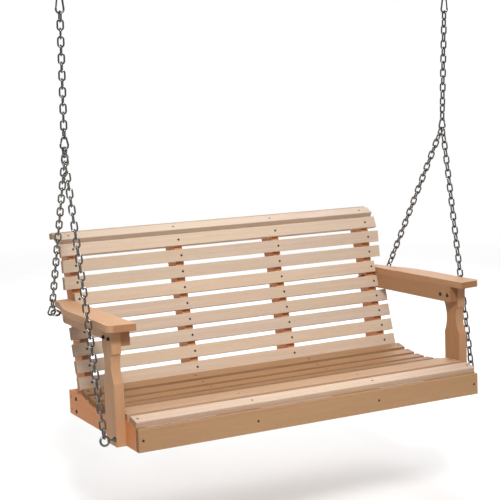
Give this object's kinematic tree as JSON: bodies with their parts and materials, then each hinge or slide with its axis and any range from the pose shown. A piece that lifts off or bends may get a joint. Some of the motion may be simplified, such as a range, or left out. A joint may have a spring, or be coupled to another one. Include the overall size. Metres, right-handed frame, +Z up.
{
  "type": "porch swing",
  "caption": "Slatted wooden porch swing with a dished seat, rolled back and curved arms, hung on two V-shaped chains from ceiling eyes.",
  "frame": {"origin": "on the ceiling, midway between the two ceiling eyes, in the plane of their plates' upper faces", "axes": "+X along the bench towards the right-hand arm of a front view, +Y towards the back of the bench, +Z up"},
  "size_m": [1.414, 0.7258, 1.3594],
  "materials": {
    "seat_wood": "sanded softwood, clear grain",
    "back_wood": "sanded softwood, clear grain",
    "arm_wood": "sanded softwood, reddish grain",
    "frame_wood": "sanded softwood",
    "chain_steel": "dull zinc plate",
    "plated_steel": "dull zinc plate",
    "dark_screws": "blackened",
    "dark_bolts": "blackened"
  },
  "bodies": {
    "ceiling_mounts": {"ceiling_eyes": "plated_steel"},
    "hanger": {"hanger_hook_rivets": "plated_steel", "junction_hook_left": "plated_steel", "junction_hook_right": "plated_steel", "top_hook_left": "plated_steel", "top_hook_right": "plated_steel", "upper_chain_left": "chain_steel", "upper_chain_right": "chain_steel"},
    "bench": {"apron": "seat_wood", "arm_board_left": "arm_wood", "arm_board_right": "arm_wood", "arm_post_left": "arm_wood", "arm_post_right": "arm_wood", "arm_rail_left": "arm_wood", "arm_rail_right": "arm_wood", "back_board_inner_left": "frame_wood", "back_board_inner_right": "frame_wood", "back_board_outer_left": "frame_wood", "back_board_outer_right": "frame_wood", "back_slat_1": "back_wood", "back_slat_2": "back_wood", "back_slat_3": "back_wood", "back_slat_4": "back_wood", "back_slat_5": "back_wood", "back_slat_6": "back_wood", "back_slat_7": "back_wood", "back_slat_8": "back_wood", "back_slat_9": "back_wood", "crown_slat": "back_wood", "eye_bolt_nuts": "plated_steel", "eye_bolt_washers": "plated_steel", "eye_bolts": "plated_steel", "frame_bolts": "dark_bolts", "frame_nuts": "dark_bolts", "front_chain_left": "chain_steel", "front_chain_right": "chain_steel", "rear_chain_left": "chain_steel", "rear_chain_right": "chain_steel", "rear_crown_slat": "back_wood", "rear_hook_left": "plated_steel", "rear_hook_right": "plated_steel", "rear_hook_rivets": "plated_steel", "seat_board_inner_left": "frame_wood", "seat_board_inner_right": "frame_wood", "seat_board_outer_left": "frame_wood", "seat_board_outer_right": "frame_wood", "seat_slat_1_front": "seat_wood", "seat_slat_2_wide": "seat_wood", "seat_slat_3": "seat_wood", "seat_slat_4": "seat_wood", "seat_slat_5": "seat_wood", "seat_slat_6": "seat_wood", "seat_slat_7": "seat_wood", "wood_screws": "dark_screws"},
    "junction_hook_left_gate_body": {"junction_hook_left_gate": "plated_steel"},
    "junction_hook_right_gate_body": {"junction_hook_right_gate": "plated_steel"},
    "rear_hook_left_gate_body": {"rear_hook_left_gate": "plated_steel"},
    "rear_hook_right_gate_body": {"rear_hook_right_gate": "plated_steel"},
    "top_hook_left_gate_body": {"top_hook_left_gate": "plated_steel"},
    "top_hook_right_gate_body": {"top_hook_right_gate": "plated_steel"}
  },
  "joints": [
    {"name": "swing", "type": "hinge", "parent": "ceiling_mounts", "child": "hanger", "pos_m": [0, 0, -0.0224], "axis": [1, 0, 0], "range_deg": [-30, 30]},
    {"name": "seat_tilt", "type": "hinge", "parent": "hanger", "child": "bench", "pos_m": [0, 0, -0.4727], "axis": [1, 0, 0], "range_deg": [-12, 12]},
    {"name": "junction_hook_left_gate_hinge", "type": "hinge", "parent": "hanger", "child": "junction_hook_left_gate_body", "pos_m": [-0.696, 0, -0.44329], "axis": [0, -1, 0], "range_deg": [0, 25], "stiffness_Nm_per_rad": 0.02, "springref_deg": -11.46},
    {"name": "junction_hook_right_gate_hinge", "type": "hinge", "parent": "hanger", "child": "junction_hook_right_gate_body", "pos_m": [0.696, 0, -0.44329], "axis": [0, 1, 0], "range_deg": [0, 25], "stiffness_Nm_per_rad": 0.02, "springref_deg": -11.46},
    {"name": "rear_hook_left_gate_hinge", "type": "hinge", "parent": "bench", "child": "rear_hook_left_gate_body", "pos_m": [-0.65925, 0.2714, -1.00814], "axis": [0.015, -0.8923, -0.4512], "range_deg": [0, 25], "stiffness_Nm_per_rad": 0.02, "springref_deg": -11.46},
    {"name": "rear_hook_right_gate_hinge", "type": "hinge", "parent": "bench", "child": "rear_hook_right_gate_body", "pos_m": [0.65925, 0.2714, -1.00814], "axis": [0.015, 0.8923, 0.4512], "range_deg": [0, 25], "stiffness_Nm_per_rad": 0.02, "springref_deg": -11.46},
    {"name": "top_hook_left_gate_hinge", "type": "hinge", "parent": "hanger", "child": "top_hook_left_gate_body", "pos_m": [-0.69583, 0, -0.0319], "axis": [0, -1, 0], "range_deg": [0, 25], "stiffness_Nm_per_rad": 0.02, "springref_deg": -11.46},
    {"name": "top_hook_right_gate_hinge", "type": "hinge", "parent": "hanger", "child": "top_hook_right_gate_body", "pos_m": [0.69583, 0, -0.0319], "axis": [0, 1, 0], "range_deg": [0, 25], "stiffness_Nm_per_rad": 0.02, "springref_deg": -11.46}
  ]
}
